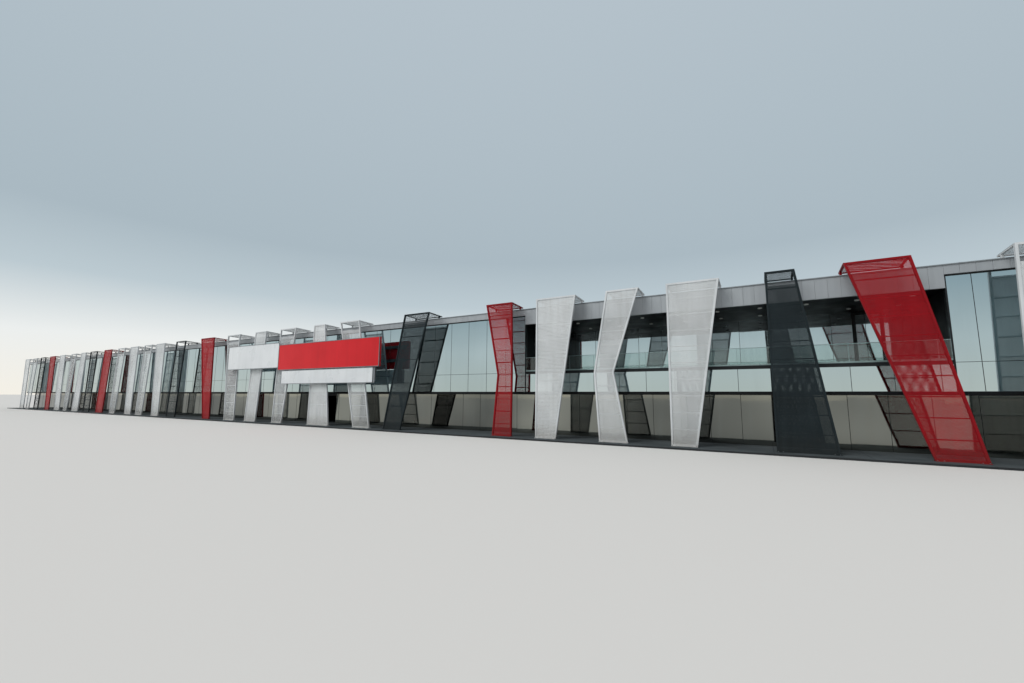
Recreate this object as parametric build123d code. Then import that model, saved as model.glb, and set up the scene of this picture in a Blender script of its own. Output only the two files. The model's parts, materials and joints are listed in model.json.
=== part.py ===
from build123d import *
from math import ceil, floor
import os

# Supermarket building as a 1:10 scale model: 1 mm here is 10 mm on the building.
# X runs along the front from left to right, +Y goes into the building, +Z is up.
# Inside this file Y is 0 on the face of the front fascia and X is 0 at the left end;
# the last step moves everything so that the origin is the middle of the footprint.

# Heights, from the ground up
floor_top = 7.5            # top of the floor slab
shop_front_height = 224.5  # from the floor to the slab over the set-back shop front
bulkhead_thick = 13.0      # that slab, on which the flush glazing stands
spandrel_height = 97.0     # mirror glass from that slab up to the edge of the terrace
terrace_thick = 15.0       # terrace floor, whose edge shows as a dark line
guard_height = 77.0        # clear glass along the edge of the terrace
lower_joint_height = 104.5  # joints of the flush windows above the bulkhead slab
upper_joint_height = 267.0
upper_height = 427.0       # from the bulkhead slab to the head of the flush windows
thin_fascia = 34.0         # cladding over the flush windows
deep_fascia = 85.0         # cladding over the loggia

# Depths behind the fascia face
band_set_back = 10.0       # flush windows and the edge of the terrace
shop_front_set_back = 145.0
loggia_depth = 430.0
building_depth = 3600.0
slab_reach = 167.0         # forecourt strip in front of the fascia face
fin_reach = 98.0           # front of the fins in front of the fascia face
return_reach = 33.0        # how far a fin's top frame goes back behind the fascia face

# Thicknesses
wall = 20.0
fascia_thick = 12.0
coping_thick = 4.0
coping_overhang = 4.0
metal_joint = 0.3          # open joint between two lengths of coping
soffit_thick = 5.0
cheek_thick = 10.0
glass_thick = 3.0
glass_gap = 0.3            # joint round each sheet of glass
frame_depth = 15.0         # window frame behind the glass
frame_border = 10.0        # width of a window frame, which its glass covers
mullion = 6.0
pane_width = 131.2         # spacing of the glazing joints, counted from the loggia's left end
right_first_pane = 73.0    # first pane right of the loggia, where they are counted afresh
mullion_panes = 3          # panes from one main mullion to the next
sheet_thick = 2.0

# Roof
deck_thick = 14.0
roof_fall = 6.0
beam_depth = 60.0
beam_width = 26.0
beam_pitch = 900.0
column_size = 30.0

# The loggia, measured from the right end of the building
loggia_from_right = 948.0
loggia_width = 1742.0

# The doorway, measured from the left end of the building
door_centre = 6903.0
door_width = 240.0
door_height = 209.5
door_header_depth = 18.0

# Fins: a flat frame of square bars with a mesh sheet in it and slim rails behind the
# sheet, and a top frame that falls back to short legs on the coping.
fin_bar = 8.0
fin_depth = 10.0
frame_joint = 0.3          # joint between a fin's front frame and its top frame
rail_bar = 4.0             # height of a cross rail
rail_pitch = 72.0          # spacing of the cross rails
sheet_set_back = 3.0       # front of the sheet behind the front of its frame
sheet_joint = 0.3          # joint round a sheet of mesh
open_band = 56.0           # height of the open band under the top of some fins
fin_rise = 24.6            # top of a fin above the coping
return_bar = 4.0           # height of the top frame's bars
leg_height = 12.0
leg_set_back = 2.0         # front of a leg behind the fascia face
foot_plate = 26.0
foot_plate_thick = 2.0
knee_height = 336.6

# One row for each fin, from left to right:
# bay to the fin before it, finish, top width, foot width, sideways shift of the foot,
# open band under the top (1) or sheet to the top (0), knee width and knee shift (0 for none)
fin_rows = [
    (328, "white", 192, 172, 25, 0, 0, 0),
    (354, "white", 177, 132, -61, 1, 0, 0),
    (345, "black", 192, 182, -41, 1, 0, 0),
    (385, "red", 198, 162, 35, 0, 0, 0),
    (380, "white", 182, 182, 41, 0, 0, 0),
    (410, "white", 162, 116, -71, 1, 0, 0),
    (334, "white", 147, 198, -66, 0, 0, 0),
    (324, "black", 203, 187, -30, 1, 0, 0),
    (426, "red", 203, 192, -61, 0, 0, 0),
    (375, "white", 177, 137, -71, 1, 0, 0),
    (324, "white", 187, 142, 10, 0, 0, 0),
    (334, "white", 172, 142, -61, 1, 0, 0),
    (274, "white", 182, 142, 30, 0, 0, 0),
    (425, "black", 177, 177, -71, 1, 0, 0),
    (496, "red", 223, 113, 91, 0, 0, 0),
    (436, "white", 187, 152, 30, 1, 0, 0),
    (405, "white", 152, 152, -66, 0, 0, 0),
    (365, "white", 194, 122, -71, 1, 0, 0),
    (375, "white", 122, 230, 41, 0, 0, 0),
    (324, "white", 192, 155, 162, 1, 0, 0),
    (618, "black", 203, 147, -182, 0, 0, 0),
    (608, "red", 169, 121, 23, 0, 94, 41),
    (344, "white", 222, 114, -61, 0, 0, 0),
    (349, "white", 157, 137, -58, 0, 98, -98),
    (314, "white", 221, 107, -59, 0, 0, 0),
    (334, "black", 105, 206, 52, 0, 0, 0),
    (309, "red", 198, 136, 170, 0, 0, 0),
    (466, "white", 213, 152, -51, 1, 0, 0),
    (415, "white", 152, 213, 41, 0, 0, 0),
]
last_bay = 274.0           # from the last fin to the right end
far_fins = 20              # fins from the left end that share a node for each finish

# Sign boxes: a white one, a red one to its right, and a white board under the red one
sign_left = 5969.0         # from the left end of the building
white_box_width = 711.0
red_box_width = 1082.0
white_box_bottom = 427.0
red_box_bottom = 408.0
box_height = 194.5
board_inset = 50.0         # ends of the board inside the ends of the red box
board_drop = 5.0           # gap between the red box and the board
board_height = 101.0
sign_depth = 16.0
sign_corner = 6.0
sign_rail = 20.0           # square tubes between the sign boxes and the fins
sign_rail_inset = 40.0
hanger_pitch = 270.0       # spacing of the tubes that carry the board

beam_bottom = floor_top + shop_front_height
band_bottom = beam_bottom + bulkhead_thick
terrace_bottom = band_bottom + spandrel_height
terrace_top = terrace_bottom + terrace_thick
window_head = band_bottom + upper_height
fascia_top = window_head + thin_fascia
soffit_bottom = fascia_top - deep_fascia

building_length = sum(row[0] for row in fin_rows) + last_bay
loggia_right = building_length - loggia_from_right
loggia_left = loggia_right - loggia_width
fin_front = -fin_reach
fin_back = fin_front + fin_depth
sheet_front = fin_front + sheet_set_back
sheet_back = sheet_front + sheet_thick
coping_top = fascia_top + coping_thick
fin_top = coping_top + fin_rise
return_front = fin_back + frame_joint
return_low = coping_top + leg_height + return_bar  # back end of the top frame's upper side
sign_back = fin_front - sign_rail
sign_front = sign_back - sign_depth
red_box_left = sign_left + white_box_width
red_box_right = red_box_left + red_box_width
board_left = red_box_left + board_inset
board_right = red_box_right - board_inset
board_bottom = red_box_bottom - board_drop - board_height
centre_x = building_length / 2
front_reach = max(slab_reach, -sign_front)
centre_y = (building_depth + coping_overhang - front_reach) / 2


def upright(outline, front, back):
    """Stand an outline drawn in X and Z up on the front, between two depths."""
    plane = Plane((0, front, 0), x_dir=(1, 0, 0), z_dir=(0, -1, 0))
    return extrude(plane * outline, amount=front - back)


def flat(outline, bottom, top):
    """Raise an outline drawn in X and Y from one level to another."""
    return extrude(Plane((0, 0, bottom)) * outline, amount=top - bottom)


def lengthwise(points, low_x, high_x):
    """Stretch an outline drawn in Y and Z along the front, from one place to another."""
    plane = Plane((low_x, 0, 0), x_dir=(0, 1, 0), z_dir=(1, 0, 0))
    return extrude(plane * make_face(Polyline(*points, close=True)), amount=high_x - low_x)


def rectangle(low_x, high_x, low_y, high_y):
    """A rectangle given by its sides."""
    centre = Pos((low_x + high_x) / 2, (low_y + high_y) / 2)
    return centre * Rectangle(high_x - low_x, high_y - low_y)


def plate(low_x, high_x, front, back, bottom, top):
    """A flat plate given by its six faces."""
    return flat(rectangle(low_x, high_x, front, back), bottom, top)


def split_evenly(start, end, pitch):
    """Divide a length into equal parts, each as near to the pitch as fits."""
    count = max(1, round((end - start) / pitch))
    return [start + (end - start) * i / count for i in range(count + 1)]


def grid_lines(left, right, start, pitch):
    """Lines of a grid through a start that lie between two ends and well clear of them."""
    clear = pane_width / 3
    first = ceil((left + clear - start) / pitch)
    last = floor((right - clear - start) / pitch)
    return [start + pitch * i for i in range(first, last + 1)]


def main_mullions(left, right, start):
    """Places of the main mullions of a run of windows."""
    return grid_lines(left, right, start, pane_width * mullion_panes)


def window_frame(left, right, bottom, top, front, columns, head=0.0, joints=()):
    """A flat frame behind the glass, with mullions at the given columns and transoms at the joints."""
    frame_bottom = bottom + frame_border
    frame_top = top - frame_border - head
    border = rectangle(left, right, bottom, top)
    opening = rectangle(left + frame_border, right - frame_border, frame_bottom, frame_top)
    bars = [rectangle(x - mullion / 2, x + mullion / 2, frame_bottom, frame_top) for x in columns]
    bars += [rectangle(left + frame_border, right - frame_border, z - mullion / 2, z + mullion / 2)
             for z in joints]
    lattice = border - opening
    for bar in bars:
        lattice = lattice + bar
    return upright(lattice, front + glass_thick + glass_gap, front + glass_thick + frame_depth)


def window_glass(left, right, bottom, top, front, head=0.0):
    """The sheet of glass that is bonded to the front of a window frame and covers it."""
    sheet = rectangle(left + glass_gap, right - glass_gap, bottom + glass_gap,
                      top - glass_gap - head)
    return upright(sheet, front, front + glass_thick)


def floor_slab():
    """The floor with its strip in front of the building."""
    return plate(0, building_length, -slab_reach, building_depth, 0, floor_top)


def back_wall():
    """The long wall at the back, between the end walls."""
    return plate(wall, building_length - wall, building_depth - wall, building_depth,
                 floor_top, fascia_top)


def end_walls():
    """A wall at each end, with the forecourt side cut back under the slab edge."""
    profile = [(fascia_thick, fascia_top), (building_depth, fascia_top),
               (building_depth, floor_top), (shop_front_set_back, floor_top),
               (shop_front_set_back, beam_bottom), (fascia_thick, beam_bottom)]
    return [lengthwise(profile, 0, wall),
            lengthwise(profile, building_length - wall, building_length)]


def roof_deck():
    """The roof deck, which falls to front and back."""
    front = fascia_thick
    back = building_depth - wall
    top = window_head + deck_thick
    profile = [(front, window_head), (back, window_head), (back, top),
               ((front + back) / 2, top + roof_fall), (front, top)]
    return lengthwise(profile, wall, building_length - wall)


def beam_places():
    """Where the roof beams run from front to back."""
    return split_evenly(wall, building_length - wall, beam_pitch)[1:-1]


def column_line():
    """Front of the row of columns, just behind the loggia windows."""
    return loggia_depth + glass_thick + frame_depth


def roof_beams():
    """The beams under the deck, from the columns back to the rear wall."""
    return [plate(x - beam_width / 2, x + beam_width / 2, column_line(), building_depth - wall,
                  window_head - beam_depth, window_head) for x in beam_places()]


def columns():
    """A column under the front end of each roof beam."""
    front = column_line()
    return [plate(x - column_size / 2, x + column_size / 2, front, front + column_size,
                  floor_top, window_head - beam_depth) for x in beam_places()]


def fascia():
    """The cladding along the top of the front, deep over the loggia and thin beside it."""
    outline = Polyline((0, fascia_top), (building_length, fascia_top),
                       (building_length, window_head), (loggia_right, window_head),
                       (loggia_right, soffit_bottom), (loggia_left, soffit_bottom),
                       (loggia_left, window_head), (0, window_head), close=True)
    return upright(make_face(outline), 0, fascia_thick)


def coping():
    """The metal cap round the roof edge: a length along each side, with open joints."""
    left = -coping_overhang
    right = building_length + coping_overhang
    front_inner = fascia_thick + coping_overhang
    back_inner = building_depth - wall - coping_overhang
    strip = wall + 2 * coping_overhang
    sides = [(left, right, -coping_overhang, front_inner),
             (left, right, back_inner, building_depth + coping_overhang),
             (left, left + strip, front_inner + metal_joint, back_inner - metal_joint),
             (right - strip, right, front_inner + metal_joint, back_inner - metal_joint)]
    return [plate(*side, fascia_top, coping_top) for side in sides]


def loggia_soffit():
    """The dark ceiling of the loggia."""
    return plate(loggia_left, loggia_right, fascia_thick, loggia_depth,
                 soffit_bottom, soffit_bottom + soffit_thick)


def loggia_cheeks():
    """The dark walls at the two sides of the loggia."""
    front = band_set_back + glass_thick + frame_depth
    back = column_line()
    left = plate(loggia_left - cheek_thick, loggia_left, front, back, terrace_top, window_head)
    right = plate(loggia_right, loggia_right + cheek_thick, front, back, terrace_top, window_head)
    return [left, right]


def terrace_slab():
    """The floor of the loggia, from its edge channel back to the columns."""
    return plate(loggia_left, loggia_right, band_set_back + glass_thick + frame_depth,
                 column_line(), terrace_bottom, terrace_top)


def bulkhead_slabs():
    """The slab that closes the step between the shop front and the flush glazing."""
    return plate(wall, building_length - wall, band_set_back,
                 shop_front_set_back + glass_thick + frame_depth, beam_bottom, band_bottom)


def flush_windows():
    """Left and right ends of the flush upper windows, and where their joints are counted from."""
    return [(wall, loggia_left, loggia_left),
            (loggia_right, building_length - wall, loggia_right + right_first_pane)]


def upper_window_frames():
    """The frames of the flush windows and, set back behind the loggia, of its own."""
    joints = (band_bottom + lower_joint_height, band_bottom + upper_joint_height)
    frames = [window_frame(left, right, band_bottom, window_head, band_set_back,
                           main_mullions(left, right, start), joints=joints)
              for left, right, start in flush_windows()]
    return frames + [window_frame(loggia_left, loggia_right, terrace_top, window_head, loggia_depth,
                                  main_mullions(loggia_left, loggia_right, loggia_left),
                                  head=window_head - soffit_bottom)]


def upper_glass():
    """The glass of the same windows, and the band of it under the edge of the terrace."""
    sheets = [window_glass(left, right, band_bottom, window_head, band_set_back)
              for left, right, _ in flush_windows()]
    sheets.append(window_glass(loggia_left, loggia_right, terrace_top, window_head,
                               loggia_depth, head=window_head - soffit_bottom))
    sheets.append(window_glass(loggia_left, loggia_right, band_bottom, terrace_bottom,
                               band_set_back))
    return sheets


def shop_front_spans():
    """The shop front on each side of the doorway."""
    return [(wall, door_centre - door_width / 2),
            (door_centre + door_width / 2, building_length - wall)]


def shop_front_frames():
    return [window_frame(left, right, floor_top, beam_bottom, shop_front_set_back,
                         main_mullions(left, right, loggia_left))
            for left, right in shop_front_spans()]


def shop_front_glass():
    return [window_glass(left, right, floor_top, beam_bottom, shop_front_set_back)
            for left, right in shop_front_spans()]


def door_header():
    """The casing over the doorway."""
    return plate(door_centre - door_width / 2, door_centre + door_width / 2,
                 shop_front_set_back, shop_front_set_back + door_header_depth,
                 floor_top + door_height, beam_bottom)


def balustrade_rail():
    """The edge channel of the terrace, on a post behind each joint of the glass under it."""
    front = band_set_back
    rail = plate(loggia_left, loggia_right, front, front + glass_thick + frame_depth,
                 terrace_bottom, terrace_top)
    for x in grid_lines(loggia_left, loggia_right, loggia_left, pane_width):
        rail = rail + plate(x - mullion / 2, x + mullion / 2, front + glass_thick + glass_gap,
                            front + glass_thick + frame_depth, band_bottom, terrace_bottom)
    return rail


def balustrade_glass():
    """The clear guard that stands in the edge channel."""
    return window_glass(loggia_left, loggia_right, terrace_top,
                        terrace_top + glass_gap + guard_height, band_set_back)


def fin_places():
    """Each fin's place along the front, with its row of sizes."""
    x = 0.0
    for row in fin_rows:
        x += row[0]
        yield x, row


def fin_levels(row):
    """Left and right edge of a fin at its foot, its knee if it has one, and its top."""
    _, _, top_width, foot_width, foot_shift, _, knee_width, knee_shift = row
    levels = [(floor_top, foot_shift - foot_width / 2, foot_shift + foot_width / 2)]
    if knee_width:
        levels.append((knee_height, knee_shift - knee_width / 2, knee_shift + knee_width / 2))
    levels.append((fin_top, -top_width / 2, top_width / 2))
    return levels


def edges_at(levels, z):
    """Left and right edge of a fin at one height."""
    for (z0, left0, right0), (z1, left1, right1) in zip(levels, levels[1:]):
        if z <= z1:
            t = (z - z0) / (z1 - z0)
            return left0 + (left1 - left0) * t, right0 + (right1 - right0) * t
    return left1, right1


def fin_outline(levels, inset, bottom, top):
    """The part of a fin's outline between two heights, drawn in by an inset at its sides."""
    heights = [bottom] + [z for z, _, _ in levels if bottom < z < top] + [top]
    left = [(edges_at(levels, z)[0] + inset, z) for z in heights]
    right = [(edges_at(levels, z)[1] - inset, z) for z in heights]
    return make_face(Polyline(*left, *reversed(right), close=True))


def rail_heights(levels):
    """Heights of a fin's cross rails, with one at the knee."""
    heights = []
    for (z0, _, _), (z1, _, _) in zip(levels, levels[1:]):
        heights += split_evenly(z0, z1, rail_pitch)[:-1]
    return heights[1:]


def fin_front_frame(row):
    """The upright frame of a fin, with its cross rails and foot plates."""
    levels = fin_levels(row)
    front = fin_outline(levels, 0, floor_top, fin_top)
    opening = fin_outline(levels, fin_bar, floor_top + fin_bar, fin_top - fin_bar)
    frame = upright(front - opening, fin_front, fin_back)
    for z in rail_heights(levels):
        rail = fin_outline(levels, fin_bar / 2, z - rail_bar / 2, z + rail_bar / 2)
        frame = frame + upright(rail, sheet_back, fin_back)
    left, right = edges_at(levels, floor_top)
    for edge in (left + foot_plate / 2, right - foot_plate / 2):
        middle = (fin_front + fin_back) / 2
        frame = frame + plate(edge - foot_plate / 2, edge + foot_plate / 2,
                              middle - foot_plate / 2, middle + foot_plate / 2,
                              floor_top, floor_top + foot_plate_thick)
    return frame


def falling(thickness, drop):
    """Outline in Y and Z of a flat piece that falls from a fin's top back to the coping."""
    front = fin_top - drop
    back = return_low + sheet_thick - drop
    return [(return_front, front), (return_reach, back),
            (return_reach, back - thickness), (return_front, front - thickness)]


def fin_top_frame(row):
    """The frame that falls back to the roof edge, on two legs on the coping."""
    half = row[2] / 2
    frame = lengthwise(falling(return_bar, sheet_thick), -half, half)
    frame = frame - plate(-half + fin_bar, half - fin_bar, return_front,
                          return_reach - fin_bar, coping_top, fin_top)
    for side in (-half, half - fin_bar):
        frame = frame + plate(side, side + fin_bar, leg_set_back, leg_set_back + fin_bar,
                              coping_top, return_low - return_bar / 2)
    return frame


def fin_frame(x, row):
    """Both frames of a fin, at its place along the front."""
    return [Pos(x, 0, 0) * fin_front_frame(row), Pos(x, 0, 0) * fin_top_frame(row)]


def fin_sheets(x, row):
    """A fin's mesh: one sheet inside the front frame and one on the top frame."""
    levels = fin_levels(row)
    inset = fin_bar + sheet_joint
    bottom = floor_top + inset
    top = fin_top - inset - (open_band if row[5] else 0)
    front = upright(fin_outline(levels, inset, bottom, top), sheet_front, sheet_back)
    half = row[2] / 2
    cover = lengthwise(falling(sheet_thick, 0), -half, half)
    return [Pos(x, 0, 0) * front, Pos(x, 0, 0) * cover]


def sign_box(left, right, bottom, height):
    """A flat sign box with rounded corners, its face bare."""
    middle = Pos((left + right) / 2, bottom + height / 2)
    return upright(middle * RectangleRounded(right - left, height, sign_corner),
                   sign_front, sign_back)


def sign_boxes_white():
    return [sign_box(sign_left, red_box_left - glass_gap, white_box_bottom, box_height),
            sign_box(board_left, board_right, board_bottom, board_height)]


def sign_box_red():
    return sign_box(red_box_left, red_box_right, red_box_bottom, box_height)


def sign_rails():
    """Two long tubes that tie the boxes to the fins, with hangers down to the board."""
    low = white_box_bottom + sign_rail_inset
    high = red_box_bottom + box_height - sign_rail_inset
    rails = [rectangle(sign_left + sign_rail, red_box_right - sign_rail,
                       z - sign_rail / 2, z + sign_rail / 2) for z in (low, high)]
    hangers = [rectangle(x - sign_rail / 2, x + sign_rail / 2, board_bottom + sign_rail, low)
               for x in split_evenly(board_left + sign_rail, board_right - sign_rail, hanger_pitch)]
    grid = rails[0] + rails[1]
    for hanger in hangers:
        grid = grid + hanger
    link = (sign_left + red_box_right) / 2
    grid = grid + rectangle(link - sign_rail / 2, link + sign_rail / 2, low, high)
    return upright(grid, sign_back, fin_front)


def save(name, solids):
    """Move a piece to the building's own frame and write it to its file."""
    if not isinstance(solids, list):
        solids = [solids]
    placed = [Pos(-centre_x, -centre_y, 0) * solid for solid in solids]
    whole = placed[0] if len(placed) == 1 else Compound(children=placed)
    export_step(whole, f"parts/{name}.step")


def main():
    os.makedirs("parts", exist_ok=True)
    save("floor_slab", floor_slab())
    save("back_wall", back_wall())
    save("end_walls", end_walls())
    save("roof_deck", roof_deck())
    save("roof_beams", roof_beams())
    save("columns", columns())
    save("fascia", fascia())
    save("coping", coping())
    save("loggia_soffit", loggia_soffit())
    save("loggia_cheeks", loggia_cheeks())
    save("terrace_slab", terrace_slab())
    save("bulkhead_slabs", bulkhead_slabs())
    save("upper_window_frames", upper_window_frames())
    save("upper_glass", upper_glass())
    save("shop_front_frames", shop_front_frames())
    save("shop_front_glass", shop_front_glass())
    save("door_header", door_header())
    save("balustrade_rail", balustrade_rail())
    save("balustrade_glass", balustrade_glass())
    save("sign_boxes_white", sign_boxes_white())
    save("sign_box_red", sign_box_red())
    save("sign_rails", sign_rails())
    far_frames = {"white": [], "red": [], "black": []}
    sheets = {"white": [], "red": [], "black": []}
    for number, (x, row) in enumerate(fin_places(), start=1):
        finish = row[1]
        if number <= far_fins:
            far_frames[finish] += fin_frame(x, row)
        else:
            save(f"{finish}_fin_{number}", fin_frame(x, row))
        sheets[finish] += fin_sheets(x, row)
    for finish in sheets:
        save(f"far_{finish}_fins", far_frames[finish])
        save(f"{finish}_mesh", sheets[finish])


main()
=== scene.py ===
import json
import math

import bmesh
import bpy
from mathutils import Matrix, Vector

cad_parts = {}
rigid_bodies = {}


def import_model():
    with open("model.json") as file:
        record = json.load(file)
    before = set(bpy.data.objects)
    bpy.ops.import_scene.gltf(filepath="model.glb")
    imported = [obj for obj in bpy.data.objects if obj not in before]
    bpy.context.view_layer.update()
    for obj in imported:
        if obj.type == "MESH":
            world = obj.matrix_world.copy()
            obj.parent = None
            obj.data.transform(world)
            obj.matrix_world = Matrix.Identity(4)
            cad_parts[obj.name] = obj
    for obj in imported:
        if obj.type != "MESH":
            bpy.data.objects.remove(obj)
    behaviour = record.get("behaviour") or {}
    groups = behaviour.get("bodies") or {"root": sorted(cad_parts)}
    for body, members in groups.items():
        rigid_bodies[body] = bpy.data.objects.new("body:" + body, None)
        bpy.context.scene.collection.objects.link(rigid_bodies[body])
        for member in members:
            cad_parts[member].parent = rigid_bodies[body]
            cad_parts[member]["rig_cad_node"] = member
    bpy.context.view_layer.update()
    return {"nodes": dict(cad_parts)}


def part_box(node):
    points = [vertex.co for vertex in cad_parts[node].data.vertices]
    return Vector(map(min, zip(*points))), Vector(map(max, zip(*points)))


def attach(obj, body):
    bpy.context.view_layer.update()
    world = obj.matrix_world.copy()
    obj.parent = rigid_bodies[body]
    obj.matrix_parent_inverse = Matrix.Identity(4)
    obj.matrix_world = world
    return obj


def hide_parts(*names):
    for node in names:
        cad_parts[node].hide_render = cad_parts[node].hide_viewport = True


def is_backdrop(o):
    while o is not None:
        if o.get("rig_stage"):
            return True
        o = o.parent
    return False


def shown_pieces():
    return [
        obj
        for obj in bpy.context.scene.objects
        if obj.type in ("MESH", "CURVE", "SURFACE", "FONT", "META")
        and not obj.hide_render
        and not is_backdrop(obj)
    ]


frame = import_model()
nodes = frame["nodes"]
print("frame:", len(nodes), "nodes")

# the main planes of the building, read from the frame
fasciaLow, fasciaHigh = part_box("fascia")
soffitLow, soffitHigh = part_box("loggia_soffit")
fasciaFace = fasciaLow.y
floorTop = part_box("floor_slab")[1].z

# panes are one width along the whole front; right of the loggia they are counted afresh,
# with a narrower first one; faces nearer than the slack count as one plane
paneGrid = {"pane": 0.1312, "rightFirst": 0.073, "slack": 0.01}


# small helpers for finishes

# an sRGB colour, written as six hex digits, as a shader wants it
def tone(hexText):
    parts = [int(hexText[i:i + 2], 16) / 255 for i in (0, 2, 4)]
    return tuple(p / 12.92 if p <= 0.04045 else ((p + 0.055) / 1.055) ** 2.4 for p in parts) + (1.0,)


def addNode(tree, kind, **settings):
    node = tree.nodes.new(kind)
    for key, value in settings.items():
        setattr(node, key, value)
    return node


# soft blotches in object space; stretch above 1 squeezes them along that axis
def blotches(tree, scale, detail=4.0, stretch=(1, 1, 1)):
    coord = addNode(tree, "ShaderNodeTexCoord")
    squeeze = addNode(tree, "ShaderNodeMapping")
    squeeze.inputs["Scale"].default_value = stretch
    noise = addNode(tree, "ShaderNodeTexNoise")
    noise.inputs["Scale"].default_value = scale
    noise.inputs["Detail"].default_value = detail
    tree.links.new(coord.outputs["Object"], squeeze.inputs["Vector"])
    tree.links.new(squeeze.outputs["Vector"], noise.inputs["Vector"])
    return noise.outputs["Fac"]


def ramp(tree, factor, stops):
    node = addNode(tree, "ShaderNodeValToRGB")
    band = node.color_ramp
    while len(band.elements) < len(stops):
        band.elements.new(0.5)
    for element, (place, colour) in zip(band.elements, stops):
        element.position = place
        element.color = tone(colour)
    tree.links.new(factor, node.inputs["Fac"])
    return node.outputs["Color"]


def remap(tree, value, low, high, fromLow=0.3, fromHigh=0.7):
    node = addNode(tree, "ShaderNodeMapRange")
    for name, number in (("From Min", fromLow), ("From Max", fromHigh), ("To Min", low), ("To Max", high)):
        node.inputs[name].default_value = number
    tree.links.new(value, node.inputs["Value"])
    return node.outputs["Result"]


def mathNode(tree, operation, first, second=None):
    node = addNode(tree, "ShaderNodeMath", operation=operation)
    for slot, value in zip(node.inputs, (first, second)):
        if value is None:
            continue
        if isinstance(value, (int, float)):
            slot.default_value = value
        else:
            tree.links.new(value, slot)
    return node.outputs["Value"]


def blend(tree, factor, under, over):
    node = addNode(tree, "ShaderNodeMix", data_type="RGBA")
    for name, value in (("Factor", factor), ("A", under), ("B", over)):
        kind = "VALUE" if name == "Factor" else "RGBA"
        slot = next(s for s in node.inputs if s.name == name and s.type == kind)
        if isinstance(value, str):
            slot.default_value = tone(value)
        elif isinstance(value, (int, float)):
            slot.default_value = value
        else:
            tree.links.new(value, slot)
    return next(s for s in node.outputs if s.type == "RGBA")


def objectAxis(tree, axis):
    coord = addNode(tree, "ShaderNodeTexCoord")
    parts = addNode(tree, "ShaderNodeSeparateXYZ")
    tree.links.new(coord.outputs["Object"], parts.inputs["Vector"])
    return parts.outputs[axis]


def bumpFrom(tree, shader, height, strength, distance):
    node = addNode(tree, "ShaderNodeBump")
    node.inputs["Strength"].default_value = strength
    node.inputs["Distance"].default_value = distance
    tree.links.new(height, node.inputs["Height"])
    tree.links.new(node.outputs["Normal"], shader.inputs["Normal"])


# what all finishes share: where two shades part, how streaks and specks lie, how deep grain is
surface = {"shades": (0.32, 0.68), "streakRun": (1, 1, 0.06), "streakDetail": 3.0, "streakFrom": (0.45, 0.75),
           "speckSize": 60, "glossFiner": 2.3, "fineDetail": 5.0, "grainDetail": 6.0, "grainDistance": 0.0006}


# a finish from one dictionary: two shades in blotches, rain streaks, uneven gloss, fine bump
def makeFinish(name, look):
    finish = bpy.data.materials.new(name)
    finish.use_nodes = True
    tree = finish.node_tree
    shader = tree.nodes["Principled BSDF"]
    shader.inputs["Metallic"].default_value = look.get("metal", 0.0)
    shader.inputs["Coat Weight"].default_value = look.get("coat", 0.0)
    shader.inputs["Coat Roughness"].default_value = look.get("coatRough", 0.1)
    shader.inputs["Specular IOR Level"].default_value = look.get("shine", 0.5)
    cloud = blotches(tree, look["size"], stretch=look.get("stretch", (1, 1, 1)))
    colour = ramp(tree, cloud, list(zip(surface["shades"], (look["dark"], look["light"]))))
    if "streak" in look:
        run = blotches(tree, look["streakSize"], surface["streakDetail"], surface["streakRun"])
        amount = remap(tree, run, 0.0, look["streakShare"], *surface["streakFrom"])
        colour = blend(tree, amount, colour, look["streak"])
    if "dust" in look:
        dustTop = floorTop + look["dustHeight"]
        low = remap(tree, objectAxis(tree, "Z"), look["dustShare"], 0.0, floorTop, dustTop)
        specks = blotches(tree, surface["speckSize"], surface["fineDetail"])
        colour = blend(tree, mathNode(tree, "MULTIPLY", low, specks), colour, look["dust"])
    tree.links.new(colour, shader.inputs["Base Color"])
    gloss = blotches(tree, look["size"] * surface["glossFiner"], surface["fineDetail"])
    tree.links.new(remap(tree, gloss, *look["rough"]), shader.inputs["Roughness"])
    if "grain" in look:
        grain = blotches(tree, look["grain"], surface["grainDetail"])
        bumpFrom(tree, shader, grain, look["grainDepth"], surface["grainDistance"])
    return finish, tree, shader


# finishes

# cast concrete of the floor: grey trowelled top with sawn joints; every face that doesn't face up is painted
# dark, which is painted shade on the kerb face
def concreteFinish():
    look = {"dark": "3f4547", "light": "50575a", "size": 7, "rough": (0.75, 0.92), "shine": 0.2,
            "grain": 420, "grainDepth": 0.35}
    edge = {"colour": "282b2d", "jointEvery": 0.15, "jointWidth": 0.0012, "jointColour": "30363a",
            "topFrom": 0.5}
    finish, tree, shader = makeFinish("walkwayConcrete", look)
    top = shader.inputs["Base Color"].links[0].from_socket
    along = mathNode(tree, "PINGPONG", objectAxis(tree, "X"), edge["jointEvery"])
    line = mathNode(tree, "LESS_THAN", along, edge["jointWidth"])
    top = blend(tree, line, top, edge["jointColour"])
    facing = addNode(tree, "ShaderNodeNewGeometry")
    parts = addNode(tree, "ShaderNodeSeparateXYZ")
    tree.links.new(facing.outputs["Normal"], parts.inputs["Vector"])
    # faces that don't face up take the dark colour: painted shade
    upward = mathNode(tree, "GREATER_THAN", parts.outputs["Z"], edge["topFrom"])
    tree.links.new(blend(tree, upward, edge["colour"], top), shader.inputs["Base Color"])
    return finish


# each panel comes from its own run of coil, so its shade is a touch different
def shadePanels(tree, shader, share, paler):
    own = addNode(tree, "ShaderNodeNewGeometry")
    shade = remap(tree, own.outputs["Random Per Island"], 0.0, share, 0.0, 1.0)
    colour = shader.inputs["Base Color"].links[0].from_socket
    tree.links.new(blend(tree, shade, colour, paler), shader.inputs["Base Color"])


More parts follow.
